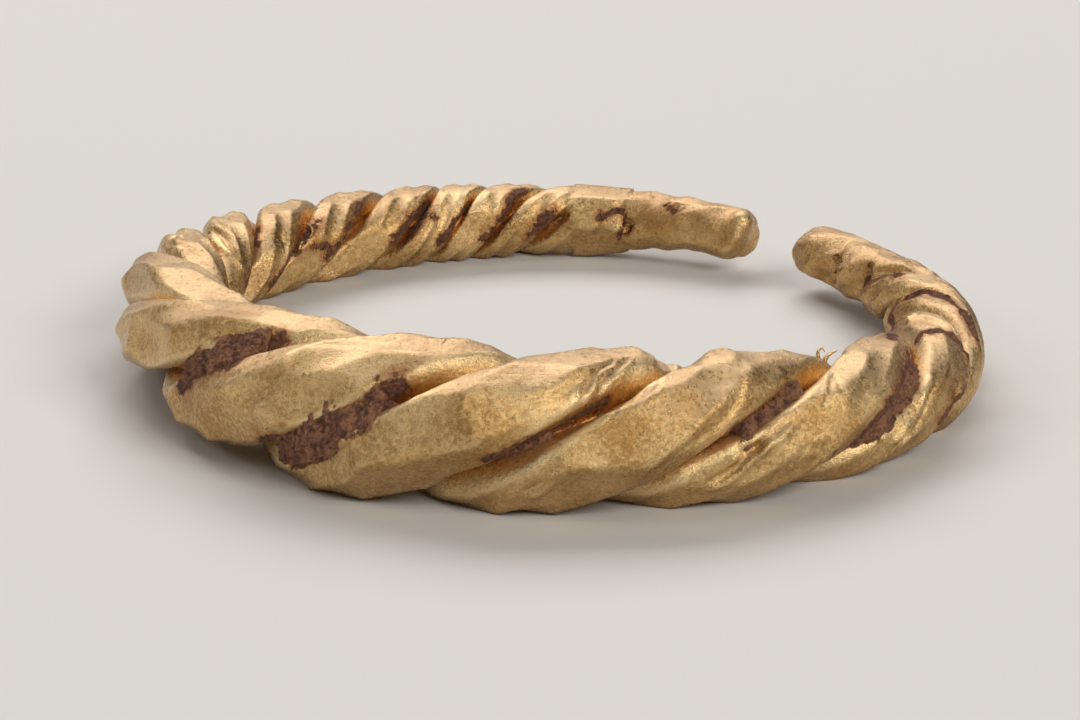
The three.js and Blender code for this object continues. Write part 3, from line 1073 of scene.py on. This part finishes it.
def make_lights():
    for name, (place, size, power, shade) in LIGHTS.items():
        lamp = bpy.data.lights.new(name, "AREA")
        lamp.shape = "RECTANGLE"
        lamp.size, lamp.size_y = size
        lamp.energy = power
        lamp.color = shade
        light = linked(name, lamp)
        light.location = place
        light.rotation_euler = (-Vector(place)).to_track_quat("-Z", "Y").to_euler()
    bpy.context.scene.view_settings.view_transform = "Standard"
    world = bpy.data.worlds.new("studio")
    world.use_nodes = True
    background = world.node_tree.nodes["Background"]
    background.inputs["Color"].default_value = WORLD_COLOUR
    background.inputs["Strength"].default_value = WORLD_STRENGTH
    bpy.context.scene.world = world


def make_camera(ring_middle):
    """The camera at the photograph's angle, aimed so that the ring falls where it does there."""
    pixels_per_mm = FOCAL_PIXELS / CAMERA_DISTANCE
    across = (PHOTO_WIDTH / 2 - RING_MIDDLE_PIXEL[0]) / pixels_per_mm
    above = (RING_MIDDLE_PIXEL[1] - PHOTO_HEIGHT / 2) / pixels_per_mm
    target = (Vector((across, 0, 0)) + above * Vector(PICTURE_UP)) * MM + ring_middle
    data = bpy.data.cameras.new("camera")
    data.lens = CAMERA_LENS
    data.sensor_width = SENSOR_WIDTH
    data.clip_start, data.clip_end = CAMERA_CLIP
    camera = linked("camera", data)
    camera.location = ring_middle + Vector(TO_CAMERA) * CAMERA_DISTANCE * MM
    camera.rotation_euler = (target - camera.location).to_track_quat("-Z", "Y").to_euler()
    bpy.context.scene.camera = camera


hammered = HammeredRing()
plain = hammered.points.reshape(-1, 3)
grid_middle = (plain.min(0) + plain.max(0)) / 2
hammered.hammer_all_over()
work(hammered, FRONT)
work(hammered, LEFT)
work(hammered, BACK)
hammered.square_block()
work(hammered, BLUNT_END, whole=True)
work(hammered, RIGHT)
work(hammered, ROUNDED_END, whole=True)
hammer_the_ends(hammered)
mark_the_ring(hammered)
patches = [soil_patch(hammered, *patch) for patch in SOIL_PATCHES.values()]
curls = [burr(hammered, *curl) for curl in BURRS.values()]
for wavelength, amount, seed in UNEVENNESS:
    hammered.roughen(wavelength, amount, seed)
hammered.mark_wear_and_painted_light()

# The solid lies with the middle of its own box over the origin, and the ring is moved to match it
lowest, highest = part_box(NODE)
cad_middle = (Vector(lowest) + Vector(highest)) / 2 / MM
to_cad = np.array([cad_middle.x - grid_middle[0], cad_middle.y - grid_middle[1], 0])
points = hammered.points + to_cad
points[..., 2] = np.maximum(points[..., 2], 0)

make_camera(Vector((to_cad[0], to_cad[1], -RESTING_CUT)) * MM)
make_floor()
make_lights()

gold = gold_material()
ring = grid_mesh("ring_of_gold", points * MM, gold)
for name, values in hammered.marks.items():
    layer = ring.data.attributes.new(name, "FLOAT", "POINT")
    layer.data.foreach_set("value", np.append(values.ravel(), [0, 0]).astype(np.float32))
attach(ring, "root")
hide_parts(NODE)

for number, curl in enumerate(curls):
    piece = grid_mesh(f"burr_{number + 1}", (curl + to_cad) * MM, gold)
    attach(piece, "root")

earth = soil_material()
for number, patch in enumerate(patches):
    lump = grid_mesh(f"soil_{number + 1}", (patch + to_cad) * MM, earth)
    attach(lump, "root")

bpy.context.view_layer.update()
